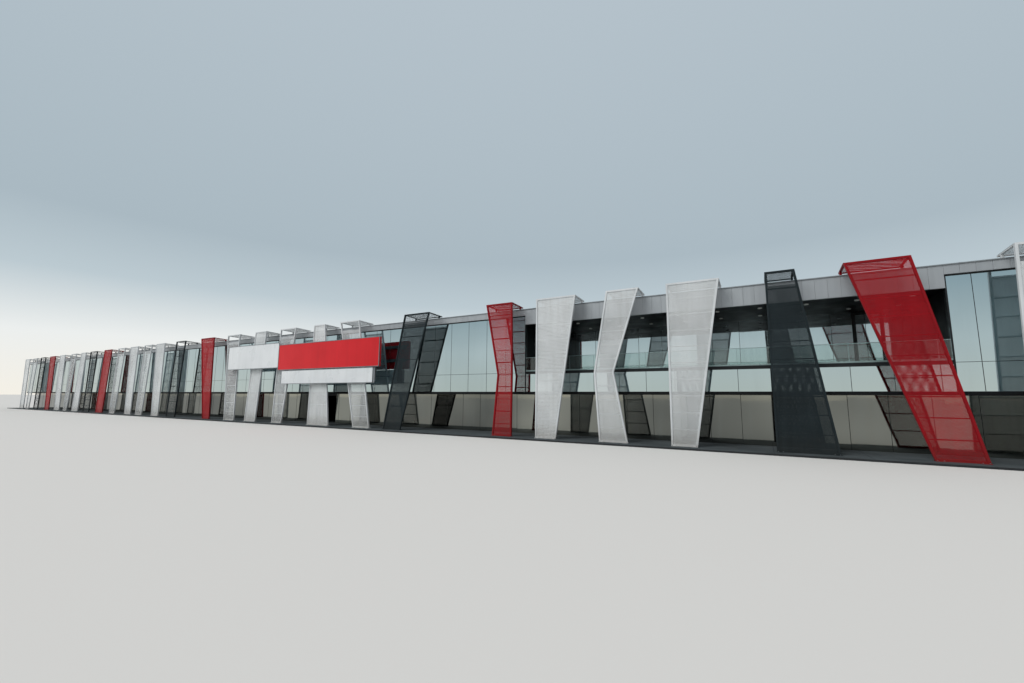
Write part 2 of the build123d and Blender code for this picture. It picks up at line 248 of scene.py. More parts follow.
def fasciaFinish():
    look = {"dark": "8b9196", "light": "9aa0a4", "size": 4, "stretch": (1, 1, 0.4), "metal": 0.15,
            "rough": (0.3, 0.4), "coat": 0.15, "coatRough": 0.12,
            "streak": "7c8286", "streakSize": 55, "streakShare": 0.3, "grain": 24, "grainDepth": 0.04}
    finish, tree, shader = makeFinish("fasciaPaint", look)
    shadePanels(tree, shader, 0.12, "b4babd")
    return finish


def wallPanelFinish():
    look = {"dark": "858b8e", "light": "969b9d", "size": 3, "stretch": (1, 1, 0.5), "metal": 0.15,
            "rough": (0.36, 0.48), "streak": "73787a", "streakSize": 38, "streakShare": 0.22,
            "dust": "6f6a62", "dustShare": 0.6, "dustHeight": 0.05, "grain": 300, "grainDepth": 0.06}
    finish, tree, shader = makeFinish("wallPanelPaint", look)
    shadePanels(tree, shader, 0.26, "b0b5b7")
    return finish


plainLooks = {
    "wallCore": {"dark": "1b1d1f", "light": "26292b", "size": 12, "rough": (0.7, 0.85)},
    "cassetteBacking": {"dark": "54595d", "light": "626769", "size": 12, "rough": (0.6, 0.75)},
    "copingMetal": {"dark": "70767a", "light": "868c90", "size": 9, "stretch": (0.3, 0.3, 1), "metal": 0.3,
                    "rough": (0.3, 0.45), "grain": 90, "grainDepth": 0.04},
    "roofMembrane": {"dark": "959896", "light": "a3a5a2", "size": 3.4, "rough": (0.7, 0.9),
                     "grain": 260, "grainDepth": 0.3},
    "roofSeam": {"dark": "7f8280", "light": "8b8e8c", "size": 9, "rough": (0.6, 0.8)},
    "structureSteel": {"dark": "4b4f52", "light": "5d6164", "size": 14, "metal": 0.2, "rough": (0.5, 0.65),
                       "grain": 200, "grainDepth": 0.08},
    "darkCladding": {"dark": "0b0d0f", "light": "121517", "size": 5, "stretch": (1, 0.6, 1), "shine": 0.12,
                     "rough": (0.42, 0.58), "grain": 40, "grainDepth": 0.05},
    "windowMetal": {"dark": "0d1012", "light": "161b1e", "size": 16, "metal": 0.2, "rough": (0.34, 0.48),
                    "shine": 0.3, "grain": 500, "grainDepth": 0.06},
    "guardMetal": {"dark": "758888", "light": "8ba0a0", "size": 20, "metal": 0.6, "rough": (0.25, 0.35),
                   "grain": 500, "grainDepth": 0.03},
    "finWhitePaint": {"dark": "bbc0c2", "light": "cdd2d4", "size": 6, "rough": (0.4, 0.55), "shine": 0.3,
                      "streak": "a1a4a2", "streakSize": 70, "streakShare": 0.3,
                      "dust": "8d877b", "dustShare": 0.8, "dustHeight": 0.09,
                      "grain": 620, "grainDepth": 0.12},
    # the white bars carry the white fin paint a touch darker: painted shade, so they read no brighter than
    # the punched sheet with the dark behind showing through its holes
    "finWhiteBarsShaded": {"dark": "b9bfc2", "light": "c9ced1", "size": 6, "rough": (0.4, 0.55), "shine": 0.3,
                     "streak": "a5a9aa", "streakSize": 70, "streakShare": 0.3,
                     "dust": "8d877b", "dustShare": 0.8, "dustHeight": 0.09},
    # the red bars carry the red fin paint made darker: painted shade, as for the white bars
    "finRedBarsShaded": {"dark": "780f17", "light": "87131b", "size": 6, "rough": (0.36, 0.5), "shine": 0.1,
                   "streak": "640e14", "streakSize": 70, "streakShare": 0.3,
                   "dust": "6b3a35", "dustShare": 0.5, "dustHeight": 0.09},
    "finRedPaint": {"dark": "8a121b", "light": "9a1720", "size": 6, "rough": (0.36, 0.5), "shine": 0.1,
                    "streak": "6f1017", "streakSize": 70, "streakShare": 0.3,
                    "dust": "6b3a35", "dustShare": 0.5, "dustHeight": 0.09,
                    "grain": 620, "grainDepth": 0.12},
    "finBlackPaint": {"dark": "182023", "light": "20292d", "size": 6, "rough": (0.4, 0.55), "shine": 0.1,
                      "streak": "2a3336", "streakSize": 70, "streakShare": 0.3,
                      "dust": "3c3d3b", "dustShare": 0.5, "dustHeight": 0.09,
                      "grain": 620, "grainDepth": 0.12},
    "signWhiteFace": {"dark": "c6ccd0", "light": "d5dadd", "size": 4, "rough": (0.25, 0.35), "coat": 0.1,
                      "streak": "b3b8b8", "streakSize": 45, "streakShare": 0.25},
    "signRedFace": {"dark": "bb121c", "light": "c91a24", "size": 4, "rough": (0.3, 0.4), "shine": 0.25,
                    "streak": "a31019", "streakSize": 45, "streakShare": 0.25},
    "signEdgeMetal": {"dark": "70767a", "light": "8b9195", "size": 10, "metal": 0.7, "rough": (0.3, 0.4),
                      "grain": 300, "grainDepth": 0.05},
    "lampRim": {"dark": "a9aca9", "light": "bcbfbc", "size": 60, "rough": (0.3, 0.4)},
    "lampLens": {"dark": "d3d4cf", "light": "e4e5e0", "size": 60, "rough": (0.2, 0.3), "coat": 0.4},
    "boltZinc": {"dark": "70757a", "light": "8d9297", "size": 90, "metal": 0.8, "rough": (0.35, 0.5)},
}


# what both mirroring glasses share: soft clouds, rain dust in runs, a slow roll of the surface
paneSurface = {"cloudSize": 1.6, "cloudDetail": 2.0, "shades": (0.3, 0.7), "runSize": 24, "runDetail": 3.0,
               "run": (1, 1, 0.08), "runFrom": (0.5, 0.8), "dust": "8d9696", "rollSize": 9, "rollDetail": 1.0}


# sun-control glass: it mirrors like the real panes, each a hair out of line with the next
def mirrorGlass(name, look):
    own = paneSurface
    finish = bpy.data.materials.new(name)
    finish.use_nodes = True
    tree = finish.node_tree
    shader = tree.nodes["Principled BSDF"]
    shader.inputs["Metallic"].default_value = 1.0
    cloud = blotches(tree, own["cloudSize"], own["cloudDetail"])
    colour = ramp(tree, cloud, list(zip(own["shades"], (look["dark"], look["light"]))))
    # rain dust gathers in soft vertical runs
    run = blotches(tree, own["runSize"], own["runDetail"], own["run"])
    colour = blend(tree, remap(tree, run, 0.0, look["dirt"], *own["runFrom"]), colour, own["dust"])
    tree.links.new(colour, shader.inputs["Base Color"])
    tree.links.new(remap(tree, run, *look["rough"]), shader.inputs["Roughness"])
    # every pane is tilted by its own small angle, and rolls very slightly like real glass
    place = objectAxis(tree, "X")
    beyond = mathNode(tree, "GREATER_THAN", place, soffitHigh.x)
    shift = mathNode(tree, "MULTIPLY", beyond, soffitHigh.x + paneGrid["rightFirst"] - soffitLow.x)
    along = mathNode(tree, "SUBTRACT", mathNode(tree, "SUBTRACT", place, soffitLow.x), shift)
    number = mathNode(tree, "FLOOR", mathNode(tree, "DIVIDE", along, paneGrid["pane"]))
    dice = addNode(tree, "ShaderNodeTexWhiteNoise", noise_dimensions="1D")
    tree.links.new(number, dice.inputs["W"])
    centre = addNode(tree, "ShaderNodeVectorMath", operation="SUBTRACT")
    centre.inputs[1].default_value = (0.5, 0.5, 0.5)
    tree.links.new(dice.outputs["Color"], centre.inputs[0])
    tilt = addNode(tree, "ShaderNodeVectorMath", operation="SCALE")
    tilt.inputs["Scale"].default_value = look["tilt"]
    tree.links.new(centre.outputs["Vector"], tilt.inputs[0])
    roll = addNode(tree, "ShaderNodeBump")
    roll.inputs["Strength"].default_value = 1.0
    roll.inputs["Distance"].default_value = look["roll"]
    tree.links.new(blotches(tree, own["rollSize"], own["rollDetail"]), roll.inputs["Height"])
    lean = addNode(tree, "ShaderNodeVectorMath", operation="ADD")
    tree.links.new(roll.outputs["Normal"], lean.inputs[0])
    tree.links.new(tilt.outputs["Vector"], lean.inputs[1])
    unit = addNode(tree, "ShaderNodeVectorMath", operation="NORMALIZE")
    tree.links.new(lean.outputs["Vector"], unit.inputs[0])
    tree.links.new(unit.outputs["Vector"], shader.inputs["Normal"])
    return finish


glassLooks = {
    "upperGlass": {"dark": "a9babe", "light": "b6c6ca", "dirt": 0.10, "rough": (0.01, 0.05),
                   "tilt": 0.004, "roll": 0.00016},
    "shopGlass": {"dark": "656865", "light": "969890", "dirt": 0.12, "rough": (0.01, 0.06),
                  "tilt": 0.004, "roll": 0.00016},
}


# clear glass of the terrace guard, faintly green, with the rain runs that dull it a little
def clearGlass(name):
    look = {"dark": "d3e3e0", "light": "dfebe9", "size": 3, "streak": "bccdca", "streakSize": 30,
            "streakShare": 0.4, "rough": (0.0, 0.04), "shine": 1.0, "clear": 1.0, "ior": 1.5}
    finish, tree, shader = makeFinish(name, look)
    shader.inputs["Transmission Weight"].default_value = look["clear"]
    shader.inputs["IOR"].default_value = look["ior"]
    return finish


finishes = {name: makeFinish(name, look)[0] for name, look in plainLooks.items()}
finishes.update({name: mirrorGlass(name, look) for name, look in glassLooks.items()})
finishes["guardGlass"] = clearGlass("guardGlass")
finishes["walkwayConcrete"] = concreteFinish()
finishes["fasciaPaint"] = fasciaFinish()
finishes["wallPanelPaint"] = wallPanelFinish()
print("finishes:", len(finishes))

nodeFinishes = {
    "floor_slab": "walkwayConcrete", "back_wall": "wallCore", "end_walls": "wallCore",
    "roof_deck": "roofMembrane", "roof_beams": "structureSteel", "columns": "structureSteel",
    "fascia": "fasciaPaint", "coping": "copingMetal", "loggia_soffit": "darkCladding",
    "loggia_cheeks": "darkCladding", "terrace_slab": "darkCladding", "bulkhead_slabs": "darkCladding",
    "upper_window_frames": "windowMetal", "shop_front_frames": "windowMetal",
    "door_header": "windowMetal", "balustrade_rail": "windowMetal", "upper_glass": "upperGlass",
    "shop_front_glass": "shopGlass", "balustrade_glass": "guardGlass",
    "sign_boxes_white": "signWhiteFace", "sign_box_red": "signRedFace", "sign_rails": "structureSteel",
}
finPaints = {"white": "finWhitePaint", "red": "finRedPaint", "black": "finBlackPaint"}
# white and red bars get darker copies of their fin paint, which is painted shade; black bars keep the fin
# paint
barPaints = {"white": "finWhiteBarsShaded", "red": "finRedBarsShaded", "black": "finBlackPaint"}


def dressNodes():
    for name, node in nodes.items():
        paint = nodeFinishes.get(name)
        if paint is None:
            paint = next(barPaints[colour] for colour in barPaints if colour in name)
        for place in node.material_slots:
            place.material = finishes[paint]


dressNodes()


# helpers for new pieces

# how near two corners count as one, as on one face or in one row, and how near a cut finds them
nearness = {"corner": 1e-6, "face": 1e-5, "row": 1e-4, "cut": 1e-7}


# a piece in the making: its corners and its faces
def newPiece():
    return {"points": [], "faces": []}


# side faces between rings of corners that follow each other, then a face over the first and the last
def addSkin(piece, start, rings, sides):
    for ring in range(rings - 1):
        for i in range(sides):
            a, b = start + ring * sides + i, start + ring * sides + (i + 1) % sides
            piece["faces"].append((a, b, b + sides, a + sides))
    last = start + (rings - 1) * sides
    piece["faces"] += [tuple(start + i for i in range(sides)), tuple(last + i for i in range(sides))]


# a closed plate on any side of the building; out is the axis it faces, and its face is chamfered
def addPlate(piece, out, across, up, base, face, chamfer=0.0):
    place = {"x": lambda u, v, n: (n, u, v),
             "y": lambda u, v, n: (u, n, v),
             "z": lambda u, v, n: (u, v, n)}[out]
    step = chamfer if face > base else -chamfer
    rings = [(base, 0.0), (face - step, 0.0), (face, chamfer)] if chamfer else [(base, 0.0), (face, 0.0)]
    start = len(piece["points"])
    for n, inset in rings:
        u0, u1, v0, v1 = across[0] + inset, across[1] - inset, up[0] + inset, up[1] - inset
        piece["points"] += [place(u, v, n) for u, v in ((u0, v0), (u1, v0), (u1, v1), (u0, v1))]
    addSkin(piece, start, len(rings), 4)


# a turned form about an upright axis; the profile is a list of radius and height
def addTurned(piece, centre, profile, sides):
    start = len(piece["points"])
    x, y, z = centre
    for radius, height in profile:
        for i in range(sides):
            turn = 2 * math.pi * i / sides
            piece["points"].append((x + radius * math.cos(turn), y + radius * math.sin(turn), z + height))
    addSkin(piece, start, len(profile), sides)


# an object from the corners and faces, with its finish and slot; sheets without thickness aren't closed
def finishPiece(piece, name, paint, standsFor=(), closed=True):
    mesh = bpy.data.meshes.new(name)
    mesh.from_pydata(piece["points"], [], piece["faces"])
    if closed:
        shape = bmesh.new()
        shape.from_mesh(mesh)
        bmesh.ops.recalc_face_normals(shape, faces=shape.faces)
        shape.to_mesh(mesh)
        shape.free()
    mesh.materials.append(finishes[paint])
    made = bpy.data.objects.new(name, mesh)
    bpy.context.scene.collection.objects.link(made)
    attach(made, "root")
    if standsFor:
        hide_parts(*standsFor)
    return made


# equal steps from start to end, each as near to the pitch as fits
def evenSteps(start, end, pitch):
    count = max(1, round((end - start) / pitch))
    return [start + (end - start) * i / count for i in range(count + 1)]


# even bays from start to end, each drawn in by half the gap at either side
def evenBays(start, end, pitch, gap):
    steps = evenSteps(start, end, pitch)
    return [(a + gap / 2, b - gap / 2) for a, b in zip(steps, steps[1:])]


# the two edges of a strip about its middle
def edgesOf(middle, width):
    return middle - width / 2, middle + width / 2


# the separate solids of a node, each as a list of its corners
def solidsOf(nodeName):
    shape = bmesh.new()
    shape.from_mesh(nodes[nodeName].data)
    bmesh.ops.remove_doubles(shape, verts=shape.verts, dist=nearness["corner"])
    shape.verts.index_update()
    seen, solids = set(), []
    for first in shape.verts:
        if first.index in seen:
            continue
        seen.add(first.index)
        queue, corners = [first], []
        while queue:
            here = queue.pop()
            corners.append(here.co.copy())
            for edge in here.link_edges:
                there = edge.other_vert(here)
                if there.index not in seen:
                    seen.add(there.index)
                    queue.append(there)
        solids.append(corners)
    shape.free()
    return solids


# lowest and highest corner of a box round the corners
def reach(corners):
    low = Vector(min(c[i] for c in corners) for i in range(3))
    high = Vector(max(c[i] for c in corners) for i in range(3))
    return low, high


# fascia: folded metal cassettes in place of the plain band, on a backing that shows in their joints

fasciaCassettes = {"width": 0.0437, "gap": 0.0003, "fold": 0.0005}
cassetteBacking = {"up": 0.0004, "forward": 0.0002, "behind": 0.003}


def buildFascia():
    look = fasciaCassettes
    piece = newPiece()
    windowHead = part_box("upper_window_frames")[1].z
    spans = [(fasciaLow.x, soffitLow.x, windowHead), (soffitLow.x, soffitHigh.x, fasciaLow.z),
             (soffitHigh.x, fasciaHigh.x, windowHead)]
    for left, right, bottom in spans:
        for bay in evenBays(left, right, look["width"], look["gap"]):
            addPlate(piece, "y", bay, (bottom, fasciaHigh.z), fasciaHigh.y, fasciaFace, look["fold"])
    finishPiece(piece, "fascia_cassettes", "fasciaPaint", ["fascia"])
    look = cassetteBacking
    piece = newPiece()
    for left, right, bottom in spans:
        addPlate(piece, "y", (left, right), (bottom + look["up"], fasciaHigh.z),
                 fasciaHigh.y - look["forward"], fasciaFace + look["behind"])
    finishPiece(piece, "fascia_backing", "cassetteBacking")


# dark trim over the flush windows and down both sides of the terrace; the head is drawn tall enough to take
# in the shadow gap under the fascia, so it is part window head, part painted shadow
headTrimWithShadowGap = {"height": 0.0055, "jamb": 0.0055, "standOut": 0.0016, "fromEnds": 0.002}


def buildHeadTrim():
    look = headTrimWithShadowGap
    piece = newPiece()
    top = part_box("upper_window_frames")[1].z
    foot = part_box("bulkhead_slabs")[1].z
    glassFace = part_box("balustrade_glass")[0].y
    face = glassFace - look["standOut"]
    underHead = top - look["height"]
    heads = ((fasciaLow.x + look["fromEnds"], soffitLow.x), (soffitHigh.x, fasciaHigh.x - look["fromEnds"]))
    jambs = ((soffitLow.x - look["jamb"], soffitLow.x), (soffitHigh.x, soffitHigh.x + look["jamb"]))
    # the heads: window head and painted shadow of the gap under the fascia in one dark strip
    for across in heads:
        addPlate(piece, "y", across, (underHead, top), glassFace, face)
    for across in jambs:
        addPlate(piece, "y", across, (foot, underHead), glassFace, face)
    finishPiece(piece, "window_head_trim_and_shadow_gap", "windowMetal")


# coping: a strap over every joint of the metal cap

copingStraps = {"every": 0.30, "width": 0.009, "rise": 0.0005, "lip": 0.0003}


def buildCopingStraps():
    look = copingStraps
    piece = newPiece()
    for low, high in map(reach, solidsOf("coping")):
        alongX = high.x - low.x > high.y - low.y
        axis, other = (0, 1) if alongX else (1, 0)
        for place in evenSteps(low[axis], high[axis], look["every"])[1:-1]:
            strap = edgesOf(place, look["width"])
            side = (low[other] - look["lip"], high[other] + look["lip"])
            across, up = (strap, side) if alongX else (side, strap)
            addPlate(piece, "z", across, up, low.z + look["lip"], high.z + look["rise"], look["lip"])
    finishPiece(piece, "coping_straps", "copingMetal")


# walls: sandwich panels hung on the back and end walls

wallPanels = {"width": 0.12, "gap": 0.0014, "stand": 0.0014, "fold": 0.0008}


def buildWallPanels():
    look = wallPanels
    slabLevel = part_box("bulkhead_slabs")[0].z
    coreLow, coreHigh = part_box("end_walls")
    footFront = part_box("shop_front_glass")[0].y
    rows = [(floorTop + look["gap"], slabLevel - look["gap"]), (slabLevel + look["gap"], coreHigh.z)]
    piece = newPiece()
    for row in rows:
        for bay in evenBays(coreLow.x, coreHigh.x, look["width"], look["gap"]):
            addPlate(piece, "y", bay, row, coreHigh.y, coreHigh.y + look["stand"], look["fold"])
    finishPiece(piece, "back_wall_panels", "wallPanelPaint")
    ends = (("left_end_panels", coreLow.x, -1), ("right_end_panels", coreHigh.x, 1))
    for name, wallFace, faceOut in ends:
        piece = newPiece()
        for row, front in zip(rows, (footFront, coreLow.y)):
            for bay in evenBays(front, coreHigh.y, look["width"], look["gap"]):
                addPlate(piece, "x", bay, row, wallFace, wallFace + faceOut * look["stand"], look["fold"])
        finishPiece(piece, name, "wallPanelPaint")


# roof: welded laps of the membrane, following the fall of the deck

roofLaps = {"every": 0.106, "width": 0.004, "rise": 0.0007, "sunk": 0.0005, "taper": 0.0006,
            "eaveAbove": 0.005}


def buildRoofLaps():
    look = roofLaps
    low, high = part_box("roof_deck")
    eave = min(c.z for c in solidsOf("roof_deck")[0] if c.z > low.z + look["eaveAbove"])
    ridge = (low.y + high.y) / 2
    half = look["width"] / 2
    top = half - look["taper"]
    section = ((-half, -look["sunk"]), (half, -look["sunk"]), (top, look["rise"]), (-top, look["rise"]))
    piece = newPiece()
    for x in evenSteps(low.x, high.x, look["every"])[1:-1]:
        start = len(piece["points"])
        for y, z in ((low.y, eave), (ridge, high.z), (high.y, eave)):
            piece["points"] += [(x + dx, y, z + dz) for dx, dz in section]
        addSkin(piece, start, 3, len(section))
    finishPiece(piece, "roof_laps", "roofSeam")


# glazing: slim caps over every joint between panes

glazingCaps = {"width": 0.0018, "stand": 0.0007, "chamfer": 0.0003, "bed": 0.0004, "clear": 0.03,
               "crossWidth": 0.0018, "crossShare": 0.6, "crossChamfer": 0.00015, "fromEdges": 0.02}


# joints between two ends, on the grid that starts at the loggia or, right of it, afresh
def paneJoints(left, right):
    pane = paneGrid["pane"]
    rightOfIt = left >= soffitHigh.x - paneGrid["slack"]
    start = soffitHigh.x + paneGrid["rightFirst"] if rightOfIt else soffitLow.x
    first = math.ceil((left + glazingCaps["clear"] - start) / pane)
    last = math.floor((right - glazingCaps["clear"] - start) / pane)
    return [start + pane * i for i in range(first, last + 1)]


def addPaneCaps(piece, low, high, crossLevels=()):
    look = glazingCaps
    for x in paneJoints(low.x, high.x):
        addPlate(piece, "y", edgesOf(x, look["width"]), (low.z, high.z),
                 low.y + look["bed"], low.y - look["stand"], look["chamfer"])
    for z in crossLevels:
        addPlate(piece, "y", (low.x, high.x), edgesOf(z, look["crossWidth"]),
                 low.y + look["bed"], low.y - look["stand"] * look["crossShare"], look["crossChamfer"])


# levels of the transoms behind a wall of glass, read from the frame's own bars
def transomLevels(nodeName, low, high):
    clear = glazingCaps["fromEdges"]
    levels = sorted({round(c.z, 4) for corners in solidsOf(nodeName) for c in corners
                     if low.z + clear < c.z < high.z - clear})
    return [(a + b) / 2 for a, b in zip(levels[::2], levels[1::2])]


# flush glass has a cross cap on its lowest transom only
def buildGlazing():
    piece = newPiece()
    flush = min(low.y for low, high in map(reach, solidsOf("upper_glass")))
    for low, high in map(reach, solidsOf("upper_glass")):
        isFlush = low.y < flush + paneGrid["slack"]
        crosses = transomLevels("upper_window_frames", low, high)[:1] if isFlush else []
        addPaneCaps(piece, low, high, crosses)
    finishPiece(piece, "upper_glazing_caps", "windowMetal")
    piece = newPiece()
    for low, high in map(reach, solidsOf("shop_front_glass")):
        addPaneCaps(piece, low, high)
    finishPiece(piece, "shop_glazing_caps", "windowMetal")


# terrace guard: a capping on the glass, a strip in each joint and the shoe that holds its foot
guardTrim = {"cap": 0.0016, "capStand": 0.0005, "capChamfer": 0.0002, "joint": 0.0011, "jointStand": 0.0002,
             "shoe": 0.0062, "shoeStand": 0.0006, "shoeChamfer": 0.0003}


def buildGuard():
    look = guardTrim
    low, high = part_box("balustrade_glass")
    piece = newPiece()
    addPlate(piece, "z", (low.x, high.x), (low.y - look["capStand"], high.y + look["capStand"]),
             high.z - look["cap"], high.z + look["capStand"], look["capChamfer"])
    addPlate(piece, "z", (low.x, high.x), (low.y - look["shoeStand"], high.y + look["shoeStand"]),
             low.z, low.z + look["shoe"], look["shoeChamfer"])
    for x in paneJoints(low.x, high.x):
        addPlate(piece, "y", edgesOf(x, look["joint"]), (low.z, high.z),
                 high.y + look["jointStand"], low.y - look["jointStand"])
    finishPiece(piece, "guard_trim", "guardMetal")


# the door to the terrace: two stiles and two rails on the set-back glazing
terraceDoor = {"fromRight": 0.218, "width": 0.118, "stile": 0.015, "headRail": 0.012, "footRail": 0.020,
               "stand": 0.0032, "bed": 0.0002, "chamfer": 0.0005}


def buildTerraceDoor():
    look = terraceDoor
    low, high = max(map(reach, solidsOf("upper_glass")), key=lambda span: span[0].y)
    left = soffitHigh.x - look["fromRight"]
    right = left + look["width"]
    between = (left + look["stile"], right - look["stile"])
    bars = [((left, between[0]), (low.z, high.z)), ((between[1], right), (low.z, high.z)),
            (between, (high.z - look["headRail"], high.z)), (between, (low.z, low.z + look["footRail"]))]
    piece = newPiece()
    for across, up in bars:
        addPlate(piece, "y", across, up, low.y + look["bed"], low.y - look["stand"], look["chamfer"])
    finishPiece(piece, "terrace_door_frame", "windowMetal")


# soffit: lining joints and two rows of recessed downlights

# rim points are shares of its width inward and of the drop, lens points shares of radius and drop
downlights = {"first": 0.108, "every": 0.1737, "count": 10, "rows": (0.0895, 0.291), "sides": 28,
              "radius": 0.0088, "rim": 0.0014, "drop": 0.0040, "rimBed": 0.0002, "lensBed": 0.0001,
              "rimPoints": [(0, 0.6), (0.4, 1), (1, 0.7)], "lensLip": 0.8,
              "lensPoints": [(0.5, 1.05), (0.12, 1.1)]}
soffitJoints = {"every": 0.0585, "width": 0.0009, "drop": 0.0003, "bed": 0.0002}


def buildSoffit():
    look = downlights
    outer, drop = look["radius"], look["drop"]
    inner = outer - look["rim"]
    rimProfile = [(outer - look["rim"] * inward, -drop * down) for inward, down in look["rimPoints"]]
    rimProfile = [(outer, look["rimBed"])] + rimProfile + [(inner, look["rimBed"])]
    lensProfile = [(inner, look["lensBed"]), (inner, -drop * look["lensLip"])]
    lensProfile += [(outer * out, -drop * down) for out, down in look["lensPoints"]]
    rims, lenses = newPiece(), newPiece()
    for number in range(look["count"]):
        for behind in look["rows"]:
            centre = (soffitLow.x + look["first"] + look["every"] * number, fasciaFace + behind, soffitLow.z)
            addTurned(rims, centre, rimProfile, look["sides"])
            addTurned(lenses, centre, lensProfile, look["sides"])
    finishPiece(rims, "downlight_rims", "lampRim")
    finishPiece(lenses, "downlight_lenses", "lampLens")
    look = soffitJoints
    piece = newPiece()
    for x in evenSteps(soffitLow.x, soffitHigh.x, look["every"])[1:-1]:
        addPlate(piece, "z", edgesOf(x, look["width"]), (soffitLow.y, soffitHigh.y),
                 soffitLow.z + look["bed"], soffitLow.z - look["drop"])
    finishPiece(piece, "soffit_joints", "darkCladding")


# fins: punched sheet in place of the plain sheets of the frame

# open is the share of a sheet that is hole, at its foot and at its top; covers are all one share;
# far fins get larger holes of the same share; a fin that stops short of the full ones by more than
# lightBand has the lighter mesh; a sheet that rises less than coverUnder is a cover
punchedSheet = {
    "across": 0.0029, "up": 0.0079, "border": 0.0010, "farSize": 1.75, "nearFrom": 24,
    "open": {"white": (0.16, 0.14), "red": (0.38, 0.27), "black": (0.09, 0.16)},
    "openLight": {"white": (0.46, 0.46), "red": (0.46, 0.46), "black": (0.50, 0.50)},
    "openCover": {"white": 0.31, "red": 0.31, "black": 0.55},
    "ownOpen": {4: (0.08, 0.08), 9: (0.08, 0.08), 15: (0.10, 0.08),
                24: (0.31, 0.27), 25: (0.31, 0.27), 28: (0.14, 0.12)},
    "crown": {"black": (0.052, 0.60)},
    "lightBand": 0.04, "coverUnder": 0.03,
}


# left and right edge of an outline at one level
def edgesAt(levels, v):
    for (v0, left0, right0), (v1, left1, right1) in zip(levels, levels[1:]):
        if v <= v1 or v1 == levels[-1][0]:
            t = (v - v0) / (v1 - v0)
            return left0 + (left1 - left0) * t, right0 + (right1 - right0) * t


# the same outline, drawn in by its border
def drawIn(levels, border):
    first, last = levels[0][0], levels[-1][0]
    inner = []
    for v, _, _ in levels:
        level = v + border if v == first else v - border if v == last else v
        left, right = edgesAt(levels, level)
        inner.append((level, left + border, right - border))
    return inner


# share of hole at one height of a sheet, which changes evenly from its foot to its top,
# up to the crown where it has one
def openAt(sheet, v):
    if v > sheet["height"] - sheet["crown"][0]:
        return sheet["crown"][1]
    level = min(max(v / sheet["height"], 0.0), 1.0)
    return sheet["shares"][0] + (sheet["shares"][1] - sheet["shares"][0]) * level


# the web between staggered diamond holes, as flat points and faces that cover a box;
# each hole's corners run top, right, foot, left
def punchedWeb(low, high, sheet):
    across, up = sheet["across"], sheet["up"]
    rows = range(math.floor(low[1] / (up / 2)) - 1, math.ceil(high[1] / (up / 2)) + 2)
    cols = range(math.floor(low[0] / (across / 2)) - 2, math.ceil(high[0] / (across / 2)) + 3)
    points, faces, start = [], [], {}
    for row in rows:
        half = math.sqrt(openAt(sheet, row * up / 2)) / 2
        corners = [(0, half * up), (half * across, 0), (0, -half * up), (-half * across, 0)]
        for col in cols:
            if (row + col) % 2 == 0:
                start[row, col] = len(points)
                points += [(col * across / 2 + x, row * up / 2 + y, 0.0) for x, y in corners]
    for (row, col), here in start.items():
        right, upRight = start.get((row, col + 2)), start.get((row + 1, col + 1))
        upLeft, downRight = start.get((row + 1, col - 1)), start.get((row - 1, col + 1))
        if upRight is not None:
            faces.append((here, here + 1, upRight + 2, upRight + 3))
        if upLeft is not None:
            faces.append((here + 3, here, upLeft + 1, upLeft + 2))
        if right is not None and upRight is not None:
            faces.append((here + 1, right + 3, upRight + 2))
        if right is not None and downRight is not None:
            faces.append((here + 1, downRight, right + 3))
    return points, faces


# cut a flat web to a four-sided stretch of an outline
def cutToStretch(points, faces, lower, upper):
    mesh = bpy.data.meshes.new("cutting")
    mesh.from_pydata(points, [], faces)
    shape = bmesh.new()
    shape.from_mesh(mesh)
    bpy.data.meshes.remove(mesh)
    (v0, left0, right0), (v1, left1, right1) = lower, upper
    rise = v1 - v0
    cuts = [((left0, v0, 0), (0, -1, 0)), ((left1, v1, 0), (0, 1, 0)),
            ((left0, v0, 0), (-rise, left1 - left0, 0)), ((right0, v0, 0), (rise, -(right1 - right0), 0))]
    for point, outward in cuts:
        everything = shape.verts[:] + shape.edges[:] + shape.faces[:]
        bmesh.ops.bisect_plane(shape, geom=everything, dist=nearness["cut"], clear_outer=True,
                               plane_co=point, plane_no=Vector(outward).normalized())
    shape.verts.index_update()
    flat = [v.co.copy() for v in shape.verts], [tuple(v.index for v in f.verts) for f in shape.faces]
    shape.free()
    return flat


# one punched sheet with its solid border, laid on a plane from its origin
def addPunched(piece, levels, origin, acrossAxis, upAxis, sheet):
    def keep(points, faces):
        start = len(piece["points"])
        piece["points"] += [tuple(origin + acrossAxis * p[0] + upAxis * p[1]) for p in points]
        piece["faces"] += [tuple(start + i for i in face) for face in faces]

    inner = drawIn(levels, punchedSheet["border"])
    for lower, upper in zip(inner, inner[1:]):
        low = (min(lower[1], upper[1]), lower[0])
        high = (max(lower[2], upper[2]), upper[0])
        keep(*cutToStretch(*punchedWeb(low, high, sheet), lower, upper))
    outerRing = [(left, v) for v, left, _ in levels] + [(right, v) for v, _, right in reversed(levels)]
    innerRing = [(left, v) for v, left, _ in inner] + [(right, v) for v, _, right in reversed(inner)]
    count = len(outerRing)
    keep([(*p, 0) for p in outerRing + innerRing],
         [(i, (i + 1) % count, count + (i + 1) % count, count + i) for i in range(count)])


